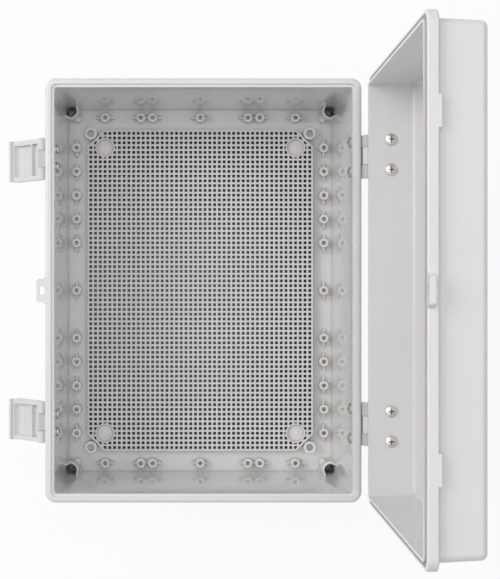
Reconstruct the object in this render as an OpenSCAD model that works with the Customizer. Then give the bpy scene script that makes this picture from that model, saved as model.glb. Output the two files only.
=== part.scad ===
// Hinged plastic wall enclosure with a perforated mounting plate, lying on its back with its lid open.
// Millimetres. +Z points out of the open box, +X to the hinge side and +Y to the upper end.
// The origin is the middle of the flat back. The lid and the latches are drawn at rest, swung open.

/* [Base box] */
// Width of the rim, from the latch side to the hinge side
rim_w = 303; // [292:1:330]
// Length of the rim
rim_l = 406.4; // [394:0.2:430]
// Height from the back to the rim
base_h = 135; // [128:1:150]
// Thickness of the walls, the floor and the lid panel
wall = 3; // [2.6:0.1:3.6]
// How far the rim flanges stand out beyond the walls
flange_out = 5.8; // [5:0.1:6.5]
// Height of each rim flange
flange_h = 8.7; // [8:0.1:9.5]
// Rounding of the base rim's outer edge
rim_round = 3.5; // [2.5:0.1:3.8]
// Corner radius of the rim
rim_r = 10.5; // [9:0.5:14]
// How far each base wall leans in between the rim and the floor
draft = 3.2; // [2:0.1:4.5]

/* [Seal] */
// Width of the step inside the base rim
step_w = 3; // [2.8:0.1:3.4]
// Depth of that step
step_h = 1.8; // [1.4:0.1:2.4]
// Thickness of the lid's inner lip
lip_t = 2.3; // [2:0.1:2.6]
// Room between the lip and the ledge of the step when closed
lip_room = 0.6; // [0.3:0.1:0.8]
// Width of the gasket channel in the lid
channel_w = 3.7; // [3:0.1:4]
// Depth of that channel
channel_h = 4; // [3:0.1:5]
// Depth of the gasket's face below the lid's rim
gasket_in = 0.2; // [0.1:0.05:0.5]
// Room between the closed rims
seam = 0.3; // [0.2:0.05:0.5]

/* [Lid] */
// Height of the lid from its rim to its outer face
lid_h = 45.5; // [40:0.5:60]
// How far the lid's flange stands out beyond its walls
lid_flange_out = 6; // [5.8:0.1:6.4]
// How far each lid wall leans in
lid_draft = 1.5; // [1:0.1:2.5]
// Rounding of the lid's outer edges
lid_round = 5; // [4:0.5:6]
// Length of the ridge that each latch hooks over
catch_w = 24; // [16:1:30]
// Height of that ridge
catch_h = 2; // [1.5:0.1:2.5]

/* [Floor bosses] */
// Distance between neighbouring bosses
boss_pitch = 25; // [23:0.5:26]
// Diameter of a boss
boss_d = 9.5; // [8:0.5:10.5]
// Diameter of the hole in a boss
boss_hole = 4.4; // [3:0.1:5]
// Height of the bosses above the floor
boss_h = 9; // [7:0.5:10]
// Distance of the bosses from the walls at the floor
boss_in = 9.5; // [9:0.1:12]
// Diameter of the four corner bosses
corner_boss_d = 13; // [11:0.5:13.5]
// Diameter of the hole in a corner boss
corner_boss_hole = 7.4; // [5:0.1:8]

/* [Mounting plate] */
// Least distance from the walls at the floor to the outer cells
plate_in = 24; // [23.5:0.1:30]
// Distance between neighbouring cells
grid_pitch = 5; // [4.8:0.05:5.1]
// Side of a cell
grid_hole = 3; // [2.4:0.1:3.4]
// Cells that run together in one slot of this solid
slot_cells = 11; // [7:1:15]
// Thickness of the plate
plate_t = 7; // [6:0.1:8]
// Height of the plate's underside above the floor
plate_lift = 3; // [2.5:0.1:4]
// Length of the corner cut of the plate
plate_cut = 17.5; // [17:0.5:22]
// Outer diameter of the four fixing cups
cup_d = 20; // [18:0.5:22]
// Depth of the cups below the plate's upper face
cup_depth = 4; // [3:0.1:4.5]

/* [Wall fixing] */
// Diameter of the screw holes in the back
fix_hole = 6.5; // [4.5:0.1:7]
// Distance of those holes from the walls at the floor
fix_in = 4.5; // [4.2:0.1:6]
// Distance of the middle of the sleeve round each hole from the walls at the floor
sleeve_in = 2.5; // [2.2:0.1:3.5]
// Inner radius of the sleeve
sleeve_r = 7.9; // [7.5:0.1:8.5]
// Height of the sleeve at its nose
sleeve_low = 17; // [12:1:22]
// Height of the sleeve at the walls
sleeve_high = 35; // [28:1:45]

/* [Hinges] */
// Distance of the hinges from the ends of the rim
hinge_in = 75; // [60:1:90]
// Width of a hinge
hinge_w = 40; // [38:1:48]
// Distance from the closed rims to the hinge axis
hinge_gap = 5.3; // [4.9:0.1:6]
// Diameter of the hinge pin
hinge_pin_d = 4; // [3:0.1:5]
// Width of the middle knuckle
middle_knuckle_w = 16.4; // [12:0.2:18]
// Distance between the two screws of a leaf
hinge_screws = 28.5; // [26:0.5:30]
// Depth of the base leaf's screws below the rim
base_screw_drop = 12; // [11.5:0.1:14]
// Height of the lid leaf's screws above the rim
lid_screw_rise = 19.8; // [18:0.1:22]

/* [Latches] */
// Distance of the latches from the ends of the rim
latch_in = 74.5; // [60:0.5:90]
// Width of a latch lever
latch_w = 40.4; // [38:0.2:46]
// Distance of the latch axis from the rim
pivot_out = 5.5; // [5:0.1:6.5]
// Depth of the latch axis below the rim
pivot_drop = 31; // [30:0.5:33]
// Diameter of the latch pin
latch_pin_d = 3; // [2.5:0.1:3.4]
// Thickness of the lever's outer skin
lever_skin = 2; // [1.6:0.1:2.4]
// Distance between the two screws of a latch bracket
latch_screws = 17; // [14:0.5:18]

/* [Padlock eyes] */
// How far the eyes stand out from the rims
eye_out = 8; // [7.5:0.1:10]
// Width of the eyes
eye_w = 22; // [18:1:26]
// Thickness of the eyes
eye_t = 5; // [4:0.5:6.5]
// Width of the slot through the eyes
eye_slot_w = 5.2; // [4.5:0.1:5.4]
// Length of that slot
eye_slot_l = 8.6; // [8:0.1:10]

/* [Hidden] */
$fn = 48;
corner_steps = 10;
fit = 0.05;
clear = 0.3;
lid_open = 89;
latch_open = 138;

// Base outline, at the rim and at the floor
open_w = rim_w - 2 * (flange_out + wall);
open_l = rim_l - 2 * (flange_out + wall);
open_r = 2.5;
out_w = open_w + 2 * wall;
out_l = open_l + 2 * wall;
out_r = open_r + wall;
back_round = 4;
edge_break = 0.8;
floor_w = open_w - 2 * draft;
floor_l = open_l - 2 * draft;
flange_z = base_h - flange_h;

// Rim of the lid, as it is when closed
lid_z = base_h + seam;
lid_flange_z = lid_z + flange_h;
lid_top = lid_z + lid_h;
lid_out_w = rim_w - 2 * lid_flange_out;
lid_out_l = rim_l - 2 * lid_flange_out;
lid_in_w = lid_out_w - 2 * wall;
lid_in_l = lid_out_l - 2 * wall;
lip_h = step_h + seam - lip_room;
lip_out_w = lid_in_w + 2 * lip_t;
lip_out_l = lid_in_l + 2 * lip_t;
lip_out_r = open_r + lip_t;
channel_out_w = lip_out_w + 2 * channel_w;
channel_out_l = lip_out_l + 2 * channel_w;
channel_out_r = lip_out_r + channel_w;
lid_rim_round = 1.5;
catch_t = 2.2;

// Mounting plate, whose cups sit on posts and whose pegs enter them
plate_margin = 3.5;
grid_cols = 2 * floor((floor_w / 2 - plate_in) / grid_pitch) + 1;
grid_rows = 2 * floor((floor_l / 2 - plate_in) / grid_pitch) + 1;
plate_w = (grid_cols - 1) * grid_pitch + 2 * plate_margin;
plate_l = (grid_rows - 1) * grid_pitch + 2 * plate_margin;
plate_z = wall + plate_lift;
plate_border = plate_margin - grid_hole / 2;
cup_wall = 1.5;
cup_rim = 0.6;
cup_cells_in = 3;
cup_x = ((grid_cols - 1) / 2 - cup_cells_in) * grid_pitch;
cup_y = ((grid_rows - 1) / 2 - cup_cells_in) * grid_pitch;
post_r = 7;
peg_r = 2.5;
peg_h = 2.5;

// Floor bosses, counted in steps of the pitch
column_x = floor_w / 2 - boss_in;
row_y = floor_l / 2 - boss_in;
column_steps = [-6, -5, -4, -3, -2, 0, 2, 3, 4, 5, 6];
row_steps = [-4, -2.5, -2, 0, 2, 2.5, 4];
fin_t = 1.6;
fin_l = 19;
fin_drop = 3;
boss_hole_h = 7;
corner_boss_x = (grid_cols - 1) / 2 * grid_pitch;
corner_boss_y = (grid_rows - 1) / 2 * grid_pitch;

// Sleeves and holes for the wall screws
fix_x = floor_w / 2 - fix_in;
fix_y = floor_l / 2 - fix_in;
sleeve_t = 1.8;
sleeve_shift = (fix_in - sleeve_in) * sqrt(2);
pad_r = 3.5;
pad_h = 5;
pad_d = -8.8;

// Hinges: the axis lies in the rim plane, outside both flanges
hinge_y = rim_l / 2 - hinge_in;
knuckle_r = hinge_gap - 2 * clear;
axis_x = rim_w / 2 + hinge_gap;
axis_z = base_h;
leaf_t = 5;
seat_x = out_w / 2;
lid_seat_x = lid_out_w / 2;
stop_x = axis_x + 8;
stop_z = axis_z - knuckle_r - clear;
block_z = axis_z + knuckle_r + 3 * clear;
arm_half = knuckle_r - 0.7;
pin_r = hinge_pin_d / 2;
outer_knuckle_w = (hinge_w - middle_knuckle_w) / 2 - clear;
outer_knuckle_y = (hinge_w - outer_knuckle_w) / 2;
base_screw_z = base_h - base_screw_drop;
lid_screw_z = lid_z + lid_screw_rise;
base_leaf_h = 14;
base_leaf_z = flange_z - base_leaf_h;
leaf_over_screw = 7;
lid_leaf_top = lid_screw_z + leaf_over_screw;

// Screws
hinge_screw_r = 2;
hinge_head_r = 5.2;
latch_screw_r = 1.75;
latch_head_r = 4.2;
head_h = 3;
screw_bite = 4;
seat_margin = 0.6;
seat_rise = 0.1;
seat_in = wall - 0.5;

// Latches: u runs towards the box and s towards the hook, both from the axis of a closed lever
latch_y = rim_l / 2 - latch_in;
pivot_x = -rim_w / 2 - pivot_out;
pivot_z = base_h - pivot_drop;
latch_knuckle_r = 3.6;
latch_knuckle_w = 16.4;
latch_pin_r = latch_pin_d / 2;
ear_r = 4.5;
ear_w = (latch_w - latch_knuckle_w) / 2 - clear;
ear_top = ear_r - 0.4;
ear_slope = 3.4;
tray_u = -2.6;
skin_u = tray_u - lever_skin;
edge_u = pivot_out - 2 * clear;
hook_u = pivot_out + catch_t;
side_u = 1.2;
bar_below = 2.1;
hollow_l = 5.4;
hollow_steps = 6;
lever_root = 0.5;
notch_s = 5.5;
hook_s = lid_flange_z + catch_h + clear - pivot_z;
hook_t = 3.1;
lever_top = hook_s + hook_t;
side_t = 4.6;
rib_t = 1.5;
rib_s = 15.4;
nose_w = 3.5;
nose_drop = 13;
bracket_w = 26.4;
bracket_t = 4;
bracket_foot = 5;
bracket_top = pivot_z + 16;
latch_screw_z = pivot_z + 9;
latch_seat_x = -out_w / 2;
eye_root = 1.6;
eye_slot_gap = 0.2;

// Half width of the base's opening at a height, between its leaning walls
function base_inside(z) = open_w / 2 - draft * (base_h - z) / (base_h - wall);

// Half width of the lid's cavity at a height
function lid_inside(z) = lid_in_w / 2 - lid_draft * (z - lid_flange_z) / (lid_top - lid_flange_z);

// Point of the open lever in X and Z
function lever_point(u, s) = [
  pivot_x + u * cos(latch_open) - s * sin(latch_open),
  pivot_z + u * sin(latch_open) + s * cos(latch_open)
];

// Corner points of a rectangle with round corners
function rounded(w, l, r) = [
  for (q = [0:3])
    for (k = [0:corner_steps])
      let (a = 90 * (q + k / corner_steps))
      let (sx = q == 0 || q == 3 ? 1 : -1)
      let (sy = q < 2 ? 1 : -1)
      [sx * (w / 2 - r) + r * cos(a), sy * (l / 2 - r) + r * sin(a)]
];

// Corner points of a rectangle with its corners cut at 45 degrees
function cut_corners(w, l, c) = [
  [w / 2, l / 2 - c], [w / 2 - c, l / 2], [c - w / 2, l / 2], [-w / 2, l / 2 - c],
  [-w / 2, c - l / 2], [c - w / 2, -l / 2], [w / 2 - c, -l / 2], [w / 2, c - l / 2]
];

// Layers of a rounded edge that closes a shell at z, above it (up = -1) or below it (up = 1).
// Each layer is height, width, length and corner radius, and the lowest comes first.
function edge_layers(z, up, w, l, r, round, steps) = [
  for (k = [0:steps])
    let (a = 90 * (up > 0 ? k : steps - k) / steps)
    let (inset = round * (1 - cos(a)))
    [z + up * round * (sin(a) - 1), w - 2 * inset, l - 2 * inset, max(r - inset, 0.5)]
];

// Solid through a stack of round-cornered rectangles, from the lowest to the highest
module loft(layers) {
  n = 4 * (corner_steps + 1);
  last = (len(layers) - 1) * n;
  points = [for (s = layers) for (p = rounded(s[1], s[2], s[3])) [p[0], p[1], s[0]]];
  sides = [
    for (j = [0:len(layers) - 2])
      for (i = [0:n - 1])
        let (a = j * n + i)
        let (b = j * n + (i + 1) % n)
        [a, a + n, b + n, b]
  ];
  bottom = [for (i = [0:n - 1]) i];
  top = [for (i = [n - 1:-1:0]) last + i];
  polyhedron(points, concat([bottom], sides, [top]));
}

module frame_ring(w1, l1, r1, w2, l2, r2, h) {
  linear_extrude(h) difference() {
    polygon(rounded(w1, l1, r1));
    polygon(rounded(w2, l2, r2));
  }
}

// Extrudes an outline drawn in X and Z along Y, about the middle
module along_y(w) {
  translate([0, w / 2, 0]) rotate([90, 0, 0]) linear_extrude(w) children();
}

module rod_y(r, w) {
  rotate([90, 0, 0]) cylinder(r = r, h = w, center = true);
}

module rod_x(r, x1, x2) {
  translate([min(x1, x2), 0, 0]) rotate([0, 90, 0]) cylinder(r = r, h = abs(x2 - x1));
}

// Swings what belongs to the lid from closed to its rest
module lid_at_rest() {
  translate([axis_x, 0, axis_z]) rotate([0, lid_open, 0]) translate([-axis_x, 0, -axis_z]) children();
}

module four_corners(x, y) {
  for (sx = [-1, 1], sy = [-1, 1]) translate([sx * x, sy * y, 0]) children();
}

// Pan head screw along +X with a cross recess, whose seat is at x = 0
module pan_screw(r, head_r, l) {
  dome_r = 1.6 * head_r;
  recess = 0.55 * head_h;
  recess_w = 1.1;
  difference() {
    union() {
      rod_x(r, -head_h / 2, l);
      intersection() {
        rod_x(head_r, -head_h, 0);
        translate([dome_r - head_h, 0, 0]) sphere(dome_r);
      }
    }
    for (a = [0, 90])
      rotate([a, 0, 0]) translate([-head_h, 0, 0]) cube([2 * recess, recess_w, head_r], center = true);
  }
}

// Round seat on a leaning wall that lets a screw head sit square, up to the wall's middle
module screw_seat(x, r, wall_x) {
  rod_x(r + seat_margin, x, wall_x);
}

function base_seat(z, r) = base_inside(z - r - seat_margin) - seat_rise;
function lid_seat(z, r) = lid_inside(z + r + seat_margin) - seat_rise;

// Wall plate of a hinge leaf with an arm that reaches round the flange
module base_leaf_outline() {
  polygon([
    [seat_x, base_leaf_z], [seat_x + leaf_t, base_leaf_z],
    [stop_x, stop_z - flange_h], [stop_x, stop_z], [rim_w / 2 + fit, stop_z],
    [rim_w / 2 + fit, flange_z - clear], [seat_x, flange_z - clear]
  ]);
}

module lid_leaf_outline() {
  polygon([
    [lid_seat_x, lid_flange_z + clear], [rim_w / 2 + 2 * clear, lid_flange_z + clear],
    [rim_w / 2 + 2 * clear, block_z], [axis_x + knuckle_r, block_z],
    [axis_x + knuckle_r, block_z + flange_h - 1], [lid_seat_x + leaf_t, block_z + 2 * flange_h],
    [lid_seat_x + leaf_t, lid_leaf_top], [lid_seat_x, lid_leaf_top]
  ]);
}

// Knuckle with a foot that runs down to the base leaf or up to the lid leaf
module knuckle(w, left, reach) {
  translate([axis_x, 0, axis_z]) {
    rod_y(knuckle_r, w);
    translate([-left, -w / 2, min(reach, 0)]) cube([left + arm_half, w, abs(reach)]);
  }
}

module hinge_bore(r) {
  translate([axis_x, 0, axis_z]) rod_y(r, hinge_w + 2);
}

module hinge_screw_holes(r, z, x1, x2) {
  for (s = [-1, 1]) translate([0, s * hinge_screws / 2, z]) rod_x(r, x1, x2);
}

module latch_screw_holes(r, x1, x2) {
  for (s = [-1, 1]) translate([0, s * latch_screws / 2, latch_screw_z]) rod_x(r, x1, x2);
}

// Ear with a slot for a padlock, against the latch side of a rim and let into it as deep as its bed
module padlock_eye(z, bed) {
  root_x = -rim_w / 2;
  tip_x = root_x - eye_out;
  slot_x = root_x - eye_slot_gap - eye_slot_w / 2;
  translate([0, 0, z]) linear_extrude(eye_t) difference() {
    polygon([
      [root_x + bed, -eye_w / 2 - eye_root], [root_x, -eye_w / 2 - eye_root],
      [root_x - eye_root, -eye_w / 2], [tip_x + eye_root, -eye_w / 2], [tip_x, -eye_w / 2 + eye_root],
      [tip_x, eye_w / 2 - eye_root], [tip_x + eye_root, eye_w / 2], [root_x - eye_root, eye_w / 2],
      [root_x, eye_w / 2 + eye_root], [root_x + bed, eye_w / 2 + eye_root]
    ]);
    translate([slot_x, 0]) {
      square([eye_slot_w, eye_slot_l - eye_slot_w], center = true);
      for (s = [-1, 1]) translate([0, s * (eye_slot_l - eye_slot_w) / 2]) circle(eye_slot_w / 2);
    }
  }
}

// Screw boss with a fin on each side along X
module finned_boss() {
  fin_h = boss_h - fin_drop;
  cylinder(d = boss_d, h = boss_h + 1);
  translate([-fin_l / 2, -fin_t / 2, 0]) cube([fin_l, fin_t, fin_h + 1]);
}

module at_small_bosses() {
  for (s = [-1, 1]) {
    for (k = column_steps) translate([s * column_x, k * boss_pitch, 0]) rotate(90) children();
    for (k = row_steps) translate([k * boss_pitch, s * row_y, 0]) children();
  }
}

// Sleeve round a wall screw: a round nose and two flanks that rise to the walls; +X points into the corner
module corner_sleeve() {
  outer_r = sleeve_r + sleeve_t;
  bend_d = -outer_r * cos(45);
  flank_l = sleeve_in + wall / 2;
  intersection() {
    union() {
      difference() {
        cylinder(r = outer_r, h = sleeve_high + 1);
        translate([0, 0, -1]) cylinder(r = sleeve_r, h = sleeve_high + 3);
        translate([bend_d + sleeve_t, -2 * outer_r, -1]) cube([4 * outer_r, 4 * outer_r, sleeve_high + 3]);
      }
      for (k = [-1, 1]) rotate(45 * k)
        translate([-sleeve_t, k > 0 ? sleeve_r : -outer_r, 0])
          cube([flank_l + sleeve_t, sleeve_t, sleeve_high + 1]);
    }
    along_y(4 * outer_r) polygon([
      [-outer_r - 1, 0], [-outer_r - 1, sleeve_low], [bend_d, sleeve_low + sleeve_t],
      [bend_d + sleeve_in, sleeve_high + 1], [outer_r, sleeve_high + 1], [outer_r, 0]
    ]);
  }
}

module at_wall_screws() {
  for (sx = [-1, 1], sy = [-1, 1])
    translate([sx * fix_x, sy * fix_y, 0]) rotate(atan2(sy, sx)) children();
}

module base_shell() {
  difference() {
    union() {
      loft(concat(
        edge_layers(0, -1, out_w - 2 * draft, out_l - 2 * draft, out_r, back_round, 4),
        [[base_h - 2, out_w, out_l, out_r]]
      ));
      loft(concat(
        [[flange_z, rim_w, rim_l, rim_r]],
        edge_layers(base_h, 1, rim_w, rim_l, rim_r, rim_round, 5)
      ));
    }
    loft([
      [wall, floor_w, floor_l, open_r], [base_h, open_w, open_l, open_r],
      [base_h + 1, open_w, open_l, open_r]
    ]);
    translate([0, 0, base_h - step_h]) linear_extrude(step_h + 1)
      polygon(rounded(open_w + 2 * step_w, open_l + 2 * step_w, open_r + step_w));
  }
}

module base_box() {
  color("gainsboro") difference() {
    union() {
      base_shell();
      translate([0, 0, wall - 1]) {
        at_small_bosses() finned_boss();
        four_corners(corner_boss_x, corner_boss_y) cylinder(d = corner_boss_d, h = boss_h + 1);
        four_corners(cup_x, cup_y) cylinder(r = post_r, h = plate_lift + 1);
        at_wall_screws() {
          translate([sleeve_shift, 0, 0]) corner_sleeve();
          translate([pad_d, 0, 0]) cylinder(r = pad_r, h = pad_h + 1);
        }
      }
      for (s = [-1, 1]) {
        translate([seat_x - seat_in, s * hinge_y - hinge_w / 2, base_leaf_z])
          cube([seat_in, hinge_w, base_leaf_h + 1]);
        translate([latch_seat_x, s * latch_y - bracket_w / 2, pivot_z - nose_drop])
          cube([seat_in, bracket_w, bracket_top - pivot_z + nose_drop]);
        for (k = [-1, 1]) {
          translate([0, s * hinge_y + k * hinge_screws / 2, base_screw_z])
            screw_seat(base_seat(base_screw_z, hinge_head_r), hinge_head_r, seat_x - 1);
          translate([0, s * latch_y + k * latch_screws / 2, latch_screw_z])
            screw_seat(-base_seat(latch_screw_z, latch_head_r), latch_head_r, latch_seat_x + 1);
        }
      }
      padlock_eye(base_h - eye_t, rim_round);
    }
    translate([0, 0, wall + boss_h - boss_hole_h]) {
      at_small_bosses() cylinder(d = boss_hole, h = boss_hole_h + 1);
      four_corners(corner_boss_x, corner_boss_y) cylinder(d = corner_boss_hole, h = boss_hole_h + 1);
    }
    four_corners(cup_x, cup_y)
      translate([0, 0, plate_z - peg_h - 2 * clear]) cylinder(r = peg_r + fit, h = peg_h + 2);
    at_wall_screws() translate([0, 0, -1]) cylinder(d = fix_hole, h = wall + 2);
    for (s = [-1, 1]) {
      translate([0, s * hinge_y, 0])
        hinge_screw_holes(hinge_screw_r + fit, base_screw_z, floor_w / 2, seat_x + 1);
      translate([0, s * latch_y, 0])
        latch_screw_holes(latch_screw_r + fit, latch_seat_x - 1, -floor_w / 2);
    }
  }
}

module plate_slots() {
  for (row = [0:grid_rows - 1], start = [0:slot_cells + 1:grid_cols - 1]) {
    cells = min(slot_cells, grid_cols - start);
    x = (start - (grid_cols - 1) / 2) * grid_pitch - grid_hole / 2;
    y = (row - (grid_rows - 1) / 2) * grid_pitch - grid_hole / 2;
    translate([x, y]) square([(cells - 1) * grid_pitch + grid_hole, grid_hole]);
  }
}

module mounting_plate() {
  inner_cut = plate_cut - plate_border * (2 - sqrt(2));
  color("whitesmoke") difference() {
    union() {
      translate([0, 0, plate_z]) linear_extrude(plate_t) difference() {
        polygon(cut_corners(plate_w, plate_l, plate_cut));
        difference() {
          intersection() {
            plate_slots();
            polygon(cut_corners(plate_w - 2 * plate_border, plate_l - 2 * plate_border, inner_cut));
          }
          four_corners(cup_x, cup_y) circle(d = cup_d);
        }
      }
      four_corners(cup_x, cup_y) {
        translate([0, 0, plate_z]) cylinder(d = cup_d, h = plate_t + cup_rim);
        translate([0, 0, plate_z - peg_h]) cylinder(r = peg_r, h = peg_h + 1);
      }
    }
    four_corners(cup_x, cup_y)
      translate([0, 0, plate_z + plate_t - cup_depth])
        cylinder(d = cup_d - 2 * cup_wall, h = cup_depth + 2);
  }
}

module hinge_base_leaf(y) {
  color("lightgray") translate([0, y, 0]) difference() {
    union() {
      along_y(hinge_w) base_leaf_outline();
      for (s = [-1, 1]) translate([0, s * outer_knuckle_y, 0])
        knuckle(outer_knuckle_w, hinge_gap - fit, -knuckle_r - flange_h / 2);
    }
    hinge_bore(pin_r + fit / 2);
    hinge_screw_holes(hinge_screw_r + fit / 2, base_screw_z, seat_x - 1, seat_x + screw_bite);
  }
}

module hinge_lid_leaf(y) {
  color("lightgray") lid_at_rest() translate([0, y, 0]) difference() {
    union() {
      along_y(hinge_w) lid_leaf_outline();
      knuckle(middle_knuckle_w, arm_half, knuckle_r + flange_h / 2);
    }
    hinge_bore(pin_r + fit);
    hinge_screw_holes(hinge_screw_r + fit / 2, lid_screw_z, lid_seat_x - 1, lid_seat_x + screw_bite);
  }
}

module hinge_pin(y) {
  color("silver") translate([axis_x, y, axis_z]) rod_y(pin_r, hinge_w);
}

module hinge_base_screws(y) {
  seat = base_seat(base_screw_z, hinge_head_r);
  color("silver") for (s = [-1, 1])
    translate([seat, y + s * hinge_screws / 2, base_screw_z])
      pan_screw(hinge_screw_r, hinge_head_r, seat_x + screw_bite - clear - seat);
}

module hinge_lid_screws(y) {
  seat = lid_seat(lid_screw_z, hinge_head_r);
  color("silver") lid_at_rest() for (s = [-1, 1])
    translate([seat, y + s * hinge_screws / 2, lid_screw_z])
      pan_screw(hinge_screw_r, hinge_head_r, lid_seat_x + screw_bite - clear - seat);
}

module lid_shell() {
  panel_in_w = 2 * lid_inside(lid_top - wall);
  panel_in_l = panel_in_w + rim_l - rim_w;
  inside_round = lid_round - 2;
  difference() {
    union() {
      loft(concat(
        [[lid_flange_z - 2, lid_out_w, lid_out_l, out_r]],
        edge_layers(lid_top, 1, lid_out_w - 2 * lid_draft, lid_out_l - 2 * lid_draft,
          lid_round + 1, lid_round, 6)
      ));
      loft(concat(
        edge_layers(lid_z, -1, rim_w, rim_l, rim_r, lid_rim_round, 3),
        [[lid_flange_z - edge_break, rim_w, rim_l, rim_r],
          [lid_flange_z, rim_w - 2 * edge_break, rim_l - 2 * edge_break, rim_r - edge_break]]
      ));
      translate([0, 0, lid_z - lip_h]) linear_extrude(lip_h + channel_h)
        polygon(rounded(lip_out_w, lip_out_l, lip_out_r));
    }
    translate([0, 0, lid_z - lip_h - 1]) linear_extrude(lip_h + flange_h + 2)
      polygon(rounded(lid_in_w, lid_in_l, open_r));
    loft(concat(
      [[lid_flange_z, lid_in_w, lid_in_l, open_r]],
      edge_layers(lid_top - wall, 1, panel_in_w, panel_in_l, open_r + 1, inside_round, 4)
    ));
    translate([0, 0, lid_z - lip_h - 1]) frame_ring(
      channel_out_w, channel_out_l, channel_out_r,
      lip_out_w, lip_out_l, lip_out_r, lip_h + channel_h + 1);
  }
}

module lid() {
  color("gainsboro") lid_at_rest() difference() {
    union() {
      lid_shell();
      for (s = [-1, 1]) {
        translate([-rim_w / 2, s * latch_y - catch_w / 2, lid_flange_z - 1])
          cube([catch_t, catch_w, catch_h + 1]);
        translate([lid_seat_x - seat_in, s * hinge_y - hinge_w / 2, lid_flange_z - 1])
          cube([seat_in, hinge_w, lid_leaf_top - lid_flange_z + 1]);
        for (k = [-1, 1])
          translate([0, s * hinge_y + k * hinge_screws / 2, lid_screw_z])
            screw_seat(lid_seat(lid_screw_z, hinge_head_r), hinge_head_r, lid_seat_x - 1);
      }
      padlock_eye(lid_z, lid_rim_round);
    }
    for (s = [-1, 1]) translate([0, s * hinge_y, 0])
      hinge_screw_holes(hinge_screw_r + fit, lid_screw_z, lid_in_w / 2 - 2 * lid_draft, lid_seat_x + 1);
  }
}

module lid_gasket() {
  color("lightgray") lid_at_rest() translate([0, 0, lid_z + gasket_in])
    frame_ring(channel_out_w - 2 * fit, channel_out_l - 2 * fit, channel_out_r - fit,
      lip_out_w + 2 * fit, lip_out_l + 2 * fit, lip_out_r + fit, channel_h - gasket_in);
}

// Screw plate with an arm for the pin, and a nose below it that the open lever leans on
module latch_bracket(y) {
  color("lightgray") translate([0, y, 0]) difference() {
    union() {
      translate([pivot_x, 0, pivot_z]) rod_y(latch_knuckle_r, latch_knuckle_w);
      along_y(latch_knuckle_w) polygon([
        [latch_seat_x, pivot_z - nose_drop],
        lever_point(skin_u - clear, notch_s + nose_w), lever_point(skin_u - clear, notch_s),
        [pivot_x, pivot_z - latch_knuckle_r / 2], [pivot_x, pivot_z + latch_knuckle_r - fit],
        [latch_seat_x - bracket_t, pivot_z + bracket_foot + 1], [latch_seat_x, pivot_z + bracket_foot + 1]
      ]);
      translate([latch_seat_x - bracket_t, -bracket_w / 2, pivot_z + bracket_foot])
        cube([bracket_t, bracket_w, bracket_top - pivot_z - bracket_foot]);
    }
    translate([pivot_x, 0, pivot_z]) rod_y(latch_pin_r + fit / 2, latch_w);
    latch_screw_holes(latch_screw_r + fit / 2, latch_seat_x + 1, latch_seat_x - bracket_t + clear);
  }
}

module latch_pin(y) {
  color("silver") translate([pivot_x, y, pivot_z]) rod_y(latch_pin_r, latch_w);
}

module latch_screw_pair(y) {
  seat = base_seat(latch_screw_z, latch_head_r);
  color("silver") for (s = [-1, 1])
    translate([-seat, y + s * latch_screws / 2, latch_screw_z])
      mirror([1, 0, 0])
        pan_screw(latch_screw_r, latch_head_r, out_w / 2 + bracket_t - 2 * clear - seat);
}

// Side wall of the lever in u and s, deeper at the hook than along the tray
module lever_side_outline() {
  polygon([
    [skin_u, lever_root], [0, lever_root], [side_u, ear_r], [side_u, hook_s - bar_below - hollow_l],
    [edge_u, hook_s - bar_below], [edge_u, hook_s], [hook_u, hook_s], [hook_u, lever_top],
    [skin_u, lever_top]
  ]);
}

// Hook on a bar, with a hollow that runs from the bar into the tray
module lever_hook_outline() {
  hollow = [
    for (k = [0:hollow_steps])
      let (a = 90 * k / hollow_steps)
      [edge_u - (edge_u - tray_u) * sin(a), hook_s - bar_below - hollow_l * (1 - cos(a))]
  ];
  polygon(concat(
    [[skin_u, lever_top], [hook_u, lever_top], [hook_u, hook_s], [edge_u, hook_s]], hollow,
    [[skin_u, hook_s - bar_below - hollow_l]]
  ));
}

module latch_lever(y) {
  notch_w = latch_knuckle_w + 2 * clear;
  color("lightgray") translate([pivot_x, y, pivot_z]) rotate([0, -latch_open, 0]) difference() {
    union() {
      translate([skin_u, -latch_w / 2, lever_root]) cube([lever_skin, latch_w, lever_top - lever_root]);
      along_y(latch_w) lever_hook_outline();
      translate([skin_u, -latch_w / 2, rib_s]) cube([side_u - skin_u, latch_w, rib_t]);
      for (k = [-1, 1]) {
        translate([0, k * (latch_w - side_t) / 2, 0]) along_y(side_t) lever_side_outline();
        translate([0, k * (latch_w - ear_w) / 2, 0]) {
          rod_y(ear_r, ear_w);
          along_y(ear_w) polygon([
            [skin_u, lever_root], [0, lever_root], [0, ear_top], [skin_u, ear_top + ear_slope]
          ]);
        }
      }
    }
    translate([skin_u - 1, -notch_w / 2, lever_root - 1])
      cube([lever_skin + 2, notch_w, notch_s - lever_root + 1]);
    rod_y(latch_pin_r + fit, latch_w + 2);
  }
}

base_box();
mounting_plate();
hinge_base_leaf(hinge_y);  // hinge_base_leaf_upper
hinge_base_leaf(-hinge_y);  // hinge_base_leaf_lower
hinge_pin(hinge_y);  // hinge_pin_upper
hinge_pin(-hinge_y);  // hinge_pin_lower
hinge_base_screws(hinge_y);  // hinge_base_screws_upper
hinge_base_screws(-hinge_y);  // hinge_base_screws_lower
latch_bracket(latch_y);  // latch_bracket_upper
latch_bracket(-latch_y);  // latch_bracket_lower
latch_pin(latch_y);  // latch_pin_upper
latch_pin(-latch_y);  // latch_pin_lower
latch_screw_pair(latch_y);  // latch_screws_upper
latch_screw_pair(-latch_y);  // latch_screws_lower
lid();
lid_gasket();
hinge_lid_leaf(hinge_y);  // hinge_lid_leaf_upper
hinge_lid_leaf(-hinge_y);  // hinge_lid_leaf_lower
hinge_lid_screws(hinge_y);  // hinge_lid_screws_upper
hinge_lid_screws(-hinge_y);  // hinge_lid_screws_lower
latch_lever(latch_y);  // latch_lever_upper
latch_lever(-latch_y);  // latch_lever_lower
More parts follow.
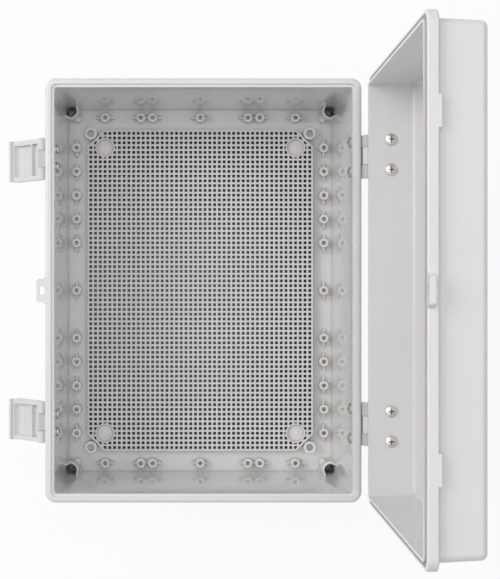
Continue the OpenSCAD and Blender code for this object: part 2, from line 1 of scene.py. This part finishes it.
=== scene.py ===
import bpy
import numpy as np
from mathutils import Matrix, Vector
from mathutils.geometry import delaunay_2d_cdt


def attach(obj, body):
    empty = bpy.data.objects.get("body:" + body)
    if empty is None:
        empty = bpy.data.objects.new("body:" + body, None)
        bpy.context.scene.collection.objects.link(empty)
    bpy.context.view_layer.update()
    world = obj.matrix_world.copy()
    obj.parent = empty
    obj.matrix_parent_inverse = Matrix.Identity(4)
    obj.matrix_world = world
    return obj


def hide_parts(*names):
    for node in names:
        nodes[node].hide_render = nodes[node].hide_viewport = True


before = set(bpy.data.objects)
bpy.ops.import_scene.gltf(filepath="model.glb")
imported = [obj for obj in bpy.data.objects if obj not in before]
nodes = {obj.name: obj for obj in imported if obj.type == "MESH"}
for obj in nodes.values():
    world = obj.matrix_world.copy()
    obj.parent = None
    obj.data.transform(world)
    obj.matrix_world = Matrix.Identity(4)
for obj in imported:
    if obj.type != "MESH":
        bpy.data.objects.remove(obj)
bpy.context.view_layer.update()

scene = bpy.context.scene
print("frame loaded:", len(nodes), "nodes")


def putMesh(name, verts, faces, body):
    mesh = bpy.data.meshes.new(name)
    mesh.from_pydata(verts.tolist(), [], [face.tolist() for face in faces])
    mesh.update()
    piece = bpy.data.objects.new(name, mesh)
    scene.collection.objects.link(piece)
    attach(piece, body)
    return piece


# materials: colour, roughness and bump run on noise in object coordinates
noiseLow = 0.3   # nearly all of the noise lies between these two
noiseHigh = 0.7
edgeSamples = 4
recessSamples = 16


def newMaterial(name):
    material = bpy.data.materials.new(name)
    material.use_nodes = True
    tree = material.node_tree
    shader = tree.nodes["Principled BSDF"]
    return material, tree, shader


def objectPlace(tree):
    return tree.nodes.new("ShaderNodeTexCoord").outputs["Object"]


def addNoise(tree, place, scale, detail):
    noise = tree.nodes.new("ShaderNodeTexNoise")
    noise.inputs["Scale"].default_value = scale
    noise.inputs["Detail"].default_value = detail
    tree.links.new(place, noise.inputs["Vector"])
    return noise.outputs["Fac"]


def addRamp(tree, factor, stops):
    ramp = tree.nodes.new("ShaderNodeValToRGB")
    elements = ramp.color_ramp.elements
    while len(elements) < len(stops):
        elements.new(0.5)
    for element, (position, colour) in zip(elements, stops):
        element.position = position
        element.color = (*colour, 1)
    tree.links.new(factor, ramp.inputs["Fac"])
    return ramp.outputs["Color"]


def addRange(tree, factor, low, high, start=noiseLow, end=noiseHigh):
    span = tree.nodes.new("ShaderNodeMapRange")
    span.inputs["From Min"].default_value = start
    span.inputs["From Max"].default_value = end
    span.inputs["To Min"].default_value = low
    span.inputs["To Max"].default_value = high
    tree.links.new(factor, span.inputs["Value"])
    return span.outputs["Result"]


def addMath(tree, operation, first, second=0):
    step = tree.nodes.new("ShaderNodeMath")
    step.operation = operation
    for socket, value in zip(step.inputs, (first, second)):
        if isinstance(value, (int, float)):
            socket.default_value = value
        else:
            tree.links.new(value, socket)
    return step.outputs[0]


def addVector(tree, operation, vector, other, socket=1):
    step = tree.nodes.new("ShaderNodeVectorMath")
    step.operation = operation
    tree.links.new(vector, step.inputs[0])
    tree.links.new(other, step.inputs[socket])
    return step.outputs[0]


def addLargest(tree, values):
    largest = values[0]
    for value in values[1:]:
        largest = addMath(tree, "MAXIMUM", largest, value)
    return largest


def addBump(tree, height, strength, depth, normal=None):
    bump = tree.nodes.new("ShaderNodeBump")
    bump.inputs["Strength"].default_value = strength
    bump.inputs["Distance"].default_value = depth
    tree.links.new(height, bump.inputs["Height"])
    if normal is not None:
        tree.links.new(normal, bump.inputs["Normal"])
    return bump.outputs["Normal"]


def addRoundEdge(tree, radius):
    edge = tree.nodes.new("ShaderNodeBevel")
    edge.samples = edgeSamples
    edge.inputs["Radius"].default_value = radius
    return edge.outputs["Normal"]


def splitAxes(tree, place):
    axes = tree.nodes.new("ShaderNodeSeparateXYZ")
    tree.links.new(place, axes.inputs[0])
    return axes.outputs


def addMottle(tree, noise, look):
    return addRamp(tree, noise, [(noiseLow, look["dark"]), (noiseHigh, look["light"])])


# painted shade in corners and holes, tinted warm in the deepest: the colour is multiplied by a ramp over
# the share of the open side that nearby walls leave free, and a surface marked as shade-free counts as
# free
def addRecessShade(tree, colour, reach, stops, shadeFree=0):
    near = tree.nodes.new("ShaderNodeAmbientOcclusion")
    near.samples = recessSamples
    near.inputs["Distance"].default_value = reach
    free = addMath(tree, "MAXIMUM", near.outputs["AO"], shadeFree)
    return addVector(tree, "MULTIPLY", colour, addRamp(tree, free, stops))


# painted shade where the box is deep: on the floor inside the plate's outline, and at the foot of each
# corner well, inside the well's radius and short of the middle of the box walls
def addDeepShade(tree, place, colour, deepShade):
    axes = splitAxes(tree, place)
    x = addMath(tree, "ABSOLUTE", axes[0])
    y = addMath(tree, "ABSOLUTE", axes[1])
    z = axes[2]
    plateLimits = [(x, deepShade["plateX"]), (y, deepShade["plateY"]), (z, deepShade["plateZ"]),
                   (addMath(tree, "ADD", x, y), deepShade["plateCorner"])]
    offPlate = addLargest(tree, [addRange(tree, distance, 0, 1, limit, limit + deepShade["plateFade"])
                                 for distance, limit in plateLimits])
    asideX = addMath(tree, "SUBTRACT", x, deepShade["wellX"])
    asideY = addMath(tree, "SUBTRACT", y, deepShade["wellY"])
    squares = [addMath(tree, "MULTIPLY", aside, aside) for aside in (asideX, asideY)]
    radius = addMath(tree, "SQRT", addMath(tree, "ADD", *squares))
    wellEdge = deepShade["wellRadius"]
    offWell = addLargest(tree, [addRange(tree, radius, 0, 1, wellEdge, wellEdge + deepShade["wellFade"]),
                                addRange(tree, z, 0, 1, *deepShade["wellFoot"]),
                                addMath(tree, "GREATER_THAN", x, deepShade["wallX"]),
                                addMath(tree, "GREATER_THAN", y, deepShade["wallY"])])
    # the colour is scaled down to the painted shade's share inside these places
    litShare = addRange(tree, addMath(tree, "MINIMUM", offPlate, offWell), deepShade["shade"], 1, 0, 1)
    return addVector(tree, "SCALE", colour, litShare, "Scale")


def mouldedPlastic(name, look):
    material, tree, shader = newMaterial(name)
    place = objectPlace(tree)
    cloud = addNoise(tree, place, look["cloudScale"], look["cloudDetail"])
    grain = addNoise(tree, place, look["grainScale"], look["grainDetail"])
    # the housing's rim, from the range in its look upward, is left free of painted shade
    shadeFree = 0
    if "shadeFreeRim" in look:
        shadeFree = addRange(tree, splitAxes(tree, place)[2], 0, 1, *look["shadeFreeRim"])
    # the mottled colour gets painted shade in corners and holes
    colour = addRecessShade(tree, addMottle(tree, cloud, look), *look["recess"], shadeFree)
    if "deepShade" in look:
        colour = addDeepShade(tree, place, colour, look["deepShade"])
    tree.links.new(colour, shader.inputs["Base Color"])
    tree.links.new(addRange(tree, cloud, *look["roughness"]), shader.inputs["Roughness"])
    rounded = addRoundEdge(tree, look["edge"])
    rough = addBump(tree, grain, look["grainStrength"], look["grainDepth"], rounded)
    tree.links.new(rough, shader.inputs["Normal"])
    tree.links.new(rounded, shader.inputs["Coat Normal"])
    shader.inputs["IOR"].default_value = look["ior"]
    shader.inputs["Coat Weight"].default_value = look["gloss"]
    shader.inputs["Coat Roughness"].default_value = look["glossRoughness"]
    return material


def platedSteel(name, look):
    material, tree, shader = newMaterial(name)
    stain = addNoise(tree, objectPlace(tree), look["stainScale"], look["stainDetail"])
    colour = addRecessShade(tree, addMottle(tree, stain, look), *look["recess"])
    tree.links.new(colour, shader.inputs["Base Color"])
    tree.links.new(addRange(tree, stain, *look["roughness"]), shader.inputs["Roughness"])
    rounded = addRoundEdge(tree, look["edge"])
    worn = addBump(tree, stain, look["wearStrength"], look["wearDepth"], rounded)
    tree.links.new(worn, shader.inputs["Normal"])
    shader.inputs["Metallic"].default_value = 1
    return material


def foamRubber(name, look):
    material, tree, shader = newMaterial(name)
    pores = addNoise(tree, objectPlace(tree), look["poreScale"], look["poreDetail"])
    colour = addRecessShade(tree, addMottle(tree, pores, look), *look["recess"])
    tree.links.new(colour, shader.inputs["Base Color"])
    tree.links.new(addRange(tree, pores, *look["roughness"]), shader.inputs["Roughness"])
    porous = addBump(tree, pores, look["poreStrength"], look["poreDepth"])
    tree.links.new(porous, shader.inputs["Normal"])
    return material


# the recess entry is the reach of the painted shade in recesses and its stops, from a closed hole (0) to
# a free surface (1)
unshaded = (1, 1, 1)
plasticLook = dict(dark=(0.742, 0.735, 0.736), light=(0.769, 0.764, 0.753), cloudScale=14, cloudDetail=3,
                   grainScale=1800, grainDetail=2, grainStrength=0.02, grainDepth=0.0002,
                   roughness=(0.29, 0.37), edge=0.0006, ior=1.3, gloss=0.7, glossRoughness=0.015,
                   recess=(0.006, [(0.1, (0.98, 0.90, 0.79)), (0.35, (0.92, 0.88, 0.84)),
                                   (0.5, (0.77, 0.755, 0.745)), (0.75, unshaded)]))
# the housing gets painted shade on the floor under the plate and at the foot of its corner wells
housingLook = dict(plasticLook, shadeFreeRim=(0.126, 0.130),
                   deepShade=dict(plateX=0.1165, plateY=0.1665, plateCorner=0.2667, plateZ=0.0045,
                              plateFade=0.001, wellX=0.137, wellY=0.1887, wellRadius=0.0081,
                              wellFade=0.0003, wellFoot=(0.009, 0.028), wallX=0.1412, wallY=0.1929,
                              shade=0.15))
lidLook = dict(plasticLook, dark=(0.748, 0.738, 0.732), light=(0.773, 0.762, 0.757),
               gloss=0.5, glossRoughness=0.08)
# the plate's cell walls get strong painted shade, so the open cells look dark
plateLook = dict(plasticLook, dark=(0.685, 0.675, 0.68), light=(0.715, 0.707, 0.71), edge=0.0003,
                 gloss=0.2, glossRoughness=0.2,
                 recess=(0.005, [(0.1, (0.13, 0.13, 0.13)), (0.6, unshaded)]))
cupLook = dict(plateLook, dark=(0.745, 0.728, 0.722), light=(0.775, 0.756, 0.748),
               recess=(0.003, [(0.1, (0.70, 0.68, 0.66)), (0.6, unshaded)]))
hingeLook = dict(plasticLook, dark=(0.53, 0.53, 0.52), light=(0.57, 0.57, 0.56), edge=0.0004,
                 gloss=0.2, glossRoughness=0.2,
                 recess=(0.004, [(0.1, (0.85, 0.85, 0.85)), (0.6, unshaded)]))
leafLook = dict(hingeLook, dark=(0.70, 0.70, 0.69), light=(0.74, 0.74, 0.73))
latchLook = dict(plasticLook, dark=(0.685, 0.700, 0.685), light=(0.71, 0.725, 0.71), edge=0.0004,
                 roughness=(0.38, 0.46), gloss=0.1, glossRoughness=0.3,
                 recess=(0.004, [(0.1, (0.72, 0.73, 0.72)), (0.6, unshaded)]))
# the gasket is light grey foam, painted mid grey as the shade in its channel, with more painted shade
# beside the lips
shadedGasketLook = dict(dark=(0.33, 0.328, 0.322), light=(0.40, 0.397, 0.39), roughness=(0.75, 0.9),
                  poreScale=1500, poreDetail=3, poreStrength=0.6, poreDepth=0.0004,
                  recess=(0.006, [(0.2, (0.45, 0.45, 0.44)), (0.8, unshaded)]))
# the screws' cross recesses and the rims of their heads get painted shade
steelLook = dict(dark=(0.65, 0.637, 0.595), light=(0.73, 0.718, 0.68), roughness=(0.30, 0.36),
                 stainScale=900, stainDetail=4, wearStrength=0.1, wearDepth=0.0001, edge=0.0002,
                 recess=(0.003, [(0.5, (0.12, 0.11, 0.09)), (0.9, unshaded)]))

housingPlastic = mouldedPlastic("housingPlastic", housingLook)
lidPlastic = mouldedPlastic("lidPlastic", lidLook)
platePlastic = mouldedPlastic("platePlastic", plateLook)
cupPlastic = mouldedPlastic("cupPlastic", cupLook)
hingePlastic = mouldedPlastic("hingePlastic", hingeLook)
leafPlastic = mouldedPlastic("leafPlastic", leafLook)
latchPlastic = mouldedPlastic("latchPlastic", latchLook)
gasketRubber = foamRubber("gasketRubber", shadedGasketLook)
screwSteel = platedSteel("screwSteel", steelLook)

finishes = {"base_box": housingPlastic, "lid": lidPlastic, "lid_gasket": gasketRubber,
            "mounting_plate": platePlastic}
for name, piece in nodes.items():
    if name in finishes:
        finish = finishes[name]
    elif "screws" in name or "pin" in name:
        finish = screwSteel
    elif name.startswith("latch_lever"):
        finish = latchPlastic
    elif name.startswith("hinge_lid_leaf"):
        finish = leafPlastic
    else:   # base leaves of the hinges, and latch brackets
        finish = hingePlastic
    piece.data.materials.clear()
    piece.data.materials.append(finish)
print("finishes set on the solids")


# perforated mounting plate, with every square cell open
plate = dict(columns=47, rows=67, pitch=0.005, hole=0.003, margin=0.0035, cornerCut=0.0175,
             underside=0.006, top=0.013, mergeDistance=1e-7, cupX=0.100, cupY=0.150, cupRadius=0.0103,
             cupBore=0.0089, cupRim=0.0006, cupEdge=0.0003, cupFloor=0.009, cupSides=64,
             domeHeight=0.0012, domeStart=0.96, domeRings=9, pegRadius=0.0025, pegLength=0.0025)


# a rectangle with its corners cut at 45 degrees: two points of one corner, mirrored and turned about
def cutCorners(halfX, halfY, cut):
    right = np.array([(halfX, halfY - cut), (halfX - cut, halfY)])
    left = right[::-1] * (-1, 1)
    return np.vstack([right, left, -right, -left])


# inside: both distances are under the half sizes, and their sum is under the half sizes' sum less the cut
def insideCutCorners(points, halfX, halfY, cut):
    x, y = np.abs(points).T
    return (x < halfX) & (y < halfY) & (x + y < halfX + halfY - cut)


# half sizes and corner cut of the plate's edge, and of the inside of its border
# the inner cut is less by the border times two minus root two, so the border is as wide along the cut
def plateOutlines(p):
    halfX = (p["columns"] - 1) / 2 * p["pitch"] + p["margin"]
    halfY = (p["rows"] - 1) / 2 * p["pitch"] + p["margin"]
    border = p["margin"] - p["hole"] / 2
    innerCut = p["cornerCut"] - border * (2 - np.sqrt(2))
    return (halfX, halfY, p["cornerCut"]), (halfX - border, halfY - border, innerCut)


# each square cell sits on a lattice point: column and row, counted from the middle, times the pitch
def plateCells(p):
    x = (np.arange(p["columns"]) - (p["columns"] - 1) / 2) * p["pitch"]
    y = (np.arange(p["rows"]) - (p["rows"] - 1) / 2) * p["pitch"]
    centres = np.stack(np.meshgrid(x, y), -1).reshape(-1, 1, 2)
    corners = np.array([(-1, -1), (1, -1), (1, 1), (-1, 1)]) * p["hole"] / 2
    return centres + corners


# closed loops of 2D points become points and edges for the triangulation
def joinLoops(loops):
    points = np.vstack(loops)
    starts = np.cumsum([0] + [len(loop) for loop in loops])
    spans = [np.arange(start, end) for start, end in zip(starts[:-1], starts[1:])]
    edges = np.vstack([np.column_stack([span, np.roll(span, -1)]) for span in spans])
    return points, edges


# flat triangles between the loops, as one layer at the top and one turned over at the underside,
# with a wall along each edge that belongs to one triangle only
def plateSheet(p, cups, circle):
    outer, inner = plateOutlines(p)
    loops = [cutCorners(*outer), cutCorners(*inner)]
    loops += [centre + circle * p["cupRadius"] for centre in cups]
    loops += list(plateCells(p))
    points, edges = joinLoops(loops)
    flat, _, faces, *_ = delaunay_2d_cdt([Vector(point) for point in points], edges.tolist(), [], 0,
                                         p["mergeDistance"])
    flat = np.array(flat)
    faces = np.array(faces)
    middle = flat[faces].mean(1)
    # a triangle is plastic inside the outline, apart from the open cells; the cups are solid discs
    offLattice = np.abs(middle / p["pitch"] - np.round(middle / p["pitch"])) * p["pitch"]
    flatRadius = p["cupRadius"] * np.cos(np.pi / p["cupSides"])   # to the middle of a side
    inCup = (np.linalg.norm(middle[:, None] - cups, axis=2) < flatRadius).any(1)
    openCell = (offLattice < p["hole"] / 2).all(1) & insideCutCorners(middle, *inner) & ~inCup
    solid = insideCutCorners(middle, *outer) & ~openCell
    sheet = faces[solid & ~inCup]
    sides = faces[solid][:, [0, 1, 1, 2, 2, 0]].reshape(-1, 2)
    _, first, uses = np.unique(np.sort(sides, 1), axis=0, return_index=True, return_counts=True)
    start, end = sides[first[uses == 1]].T
    below = len(flat)
    heights = np.repeat([p["top"], p["underside"]], below)
    verts = np.column_stack([np.vstack([flat, flat]), heights])
    walls = np.column_stack([end, start, start + below, end + below])
    return verts, list(sheet) + list(sheet[:, ::-1] + below) + list(walls)


# radius and height along a cup, above from its rim to the middle of its floor, and below to its peg
# the floor rises by the dome's height times one minus the square of the radius over the bore
def cupProfiles(p):
    edge = p["cupEdge"]
    rimTop = p["top"] + p["cupRim"]
    rim = np.array([(p["cupRadius"], p["top"]), (p["cupRadius"], rimTop - edge),
                    (p["cupRadius"] - edge, rimTop), (p["cupBore"] + edge, rimTop),
                    (p["cupBore"], rimTop - edge), (p["cupBore"], p["cupFloor"])])
    reach = np.linspace(p["domeStart"], 0, p["domeRings"])
    dome = np.column_stack([p["cupBore"] * reach, p["cupFloor"] + p["domeHeight"] * (1 - reach ** 2)])
    pegEnd = p["underside"] - p["pegLength"]
    lower = np.array([(p["cupRadius"], p["underside"]), (p["pegRadius"], p["underside"]),
                      (p["pegRadius"], pegEnd), (0, pegEnd)])
    return np.vstack([rim, dome]), lower


# a profile turned about an axis: the circle times the radius, at the profile's height
def turnProfile(profile, centre, circle):
    rings, sides = len(profile), len(circle)
    xy = centre + profile[:, None, :1] * circle
    z = np.broadcast_to(profile[:, None, 1:], (rings, sides, 1))
    ring, side = np.meshgrid(np.arange(rings - 1), np.arange(sides), indexing="ij")
    here = ring * sides + side
    beside = ring * sides + (side + 1) % sides
    faces = np.stack([here, beside, beside + sides, here + sides], -1).reshape(-1, 4)
    return np.concatenate([xy, z], 2).reshape(-1, 3), faces


# the flat sheet with its walls, then the upper and lower side of each cup
def makePlate(p):
    turn = np.linspace(0, 2 * np.pi, p["cupSides"], endpoint=False)
    circle = np.column_stack([np.cos(turn), np.sin(turn)])
    cups = np.array([(-1, -1), (-1, 1), (1, -1), (1, 1)]) * (p["cupX"], p["cupY"])
    verts, faces = plateSheet(p, cups, circle)
    sheetFaces = len(faces)
    upper, lower = cupProfiles(p)
    for profile, order in ((upper, 1), (lower, -1)):
        for centre in cups:
            cupVerts, cupFaces = turnProfile(profile, centre, circle)
            faces += list(cupFaces[:, ::order] + len(verts))
            verts = np.vstack([verts, cupVerts])
    isCup = np.arange(len(faces)) >= sheetFaces
    return verts, faces, isCup


plateVerts, plateFaces, isCup = makePlate(plate)
platePiece = putMesh("perforatedPlate", plateVerts, plateFaces, "base")
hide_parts("mounting_plate")
platePiece.data.materials.append(platePlastic)
platePiece.data.materials.append(cupPlastic)
platePiece.data.polygons.foreach_set("material_index", isCup.astype(np.int32))
print("perforated plate:", len(platePiece.data.polygons), "faces")


# camera over the open base, with the middle of its picture shifted towards the lid
view = dict(x=-0.033, y=0.0, height=1.358, lens=79.62, sensor=36, shiftX=0.1401, shiftY=0.0016)
camera = bpy.data.objects.new("camera", bpy.data.cameras.new("camera"))
camera.data.lens = view["lens"]
camera.data.sensor_width = view["sensor"]
camera.data.shift_x = view["shiftX"]
camera.data.shift_y = view["shiftY"]
camera.location = (view["x"], view["y"], view["height"])
scene.collection.objects.link(camera)
scene.camera = camera
print("camera set")


# floor, lamps and world
stageLook = dict(floorSize=8.0, floorHeight=-0.0005, floorColour=(0.86, 0.86, 0.86), floorRoughness=0.9,
                 footprint=(0.1425, 0.1935), shadowShare=0.09, worldLight=0.39)
lamps = {
    "overhead": dict(place=(0.1, 0.3, 2.6), aim=(0.05, 0, 0), size=2.4, power=21),
    "key": dict(place=(-2.2, 0.85, 1.9), aim=(0, 0, 0.05), size=2.0, power=41),
}


# white to the camera and in reflections, mixed over the lit surface by a share
def whiteForCamera(tree, lit, share):
    path = tree.nodes.new("ShaderNodeLightPath")
    rays = ("Is Camera Ray", "Is Glossy Ray", "Is Transmission Ray")
    seen = addLargest(tree, [path.outputs[ray] for ray in rays])
    white = tree.nodes.new("ShaderNodeEmission")
    white.inputs["Strength"].default_value = 1
    mix = tree.nodes.new("ShaderNodeMixShader")
    tree.links.new(addMath(tree, "MULTIPLY", seen, share), mix.inputs[0])
    tree.links.new(lit, mix.inputs[1])
    tree.links.new(white.outputs[0], mix.inputs[2])
    return mix.outputs[0]


# 1 beyond the box's footprint and 0 under it, so that the holes in the back stay dark
def beyondFootprint(tree, halfX, halfY):
    axes = splitAxes(tree, objectPlace(tree))
    beyondX = addMath(tree, "GREATER_THAN", addMath(tree, "ABSOLUTE", axes[0]), halfX)
    beyondY = addMath(tree, "GREATER_THAN", addMath(tree, "ABSOLUTE", axes[1]), halfY)
    return addMath(tree, "MAXIMUM", beyondX, beyondY)


floorCorners = np.array([(-1, -1), (1, -1), (1, 1), (-1, 1)]) * stageLook["floorSize"] / 2
floorVerts = np.column_stack([floorCorners, np.full(len(floorCorners), stageLook["floorHeight"])])
floorMesh = bpy.data.meshes.new("floor")
floorMesh.from_pydata(floorVerts.tolist(), [], [(0, 1, 2, 3)])
floor = bpy.data.objects.new("floor", floorMesh)
scene.collection.objects.link(floor)
floorPaper, tree, shader = newMaterial("floorPaper")
shader.inputs["Base Color"].default_value = (*stageLook["floorColour"], 1)
shader.inputs["Roughness"].default_value = stageLook["floorRoughness"]
beyond = beyondFootprint(tree, *stageLook["footprint"])
share = addMath(tree, "MULTIPLY", beyond, 1 - stageLook["shadowShare"])
white = whiteForCamera(tree, shader.outputs[0], share)
tree.links.new(white, tree.nodes["Material Output"].inputs["Surface"])
floorMesh.materials.append(floorPaper)

for name, lamp in lamps.items():
    light = bpy.data.objects.new(name, bpy.data.lights.new(name, "AREA"))
    light.data.size = lamp["size"]
    light.data.energy = lamp["power"]
    light.location = lamp["place"]
    aim = Vector(lamp["aim"]) - Vector(lamp["place"])
    light.rotation_euler = aim.to_track_quat("-Z", "Y").to_euler()
    scene.collection.objects.link(light)

world = bpy.data.worlds.new("studio")
scene.world = world
world.use_nodes = True
tree = world.node_tree
back = tree.nodes["Background"]
back.inputs["Color"].default_value = (1, 1, 1, 1)
back.inputs["Strength"].default_value = stageLook["worldLight"]
white = whiteForCamera(tree, back.outputs[0], 1)
tree.links.new(white, tree.nodes["World Output"].inputs["Surface"])
scene.view_settings.view_transform = "Standard"
print("stage lit")
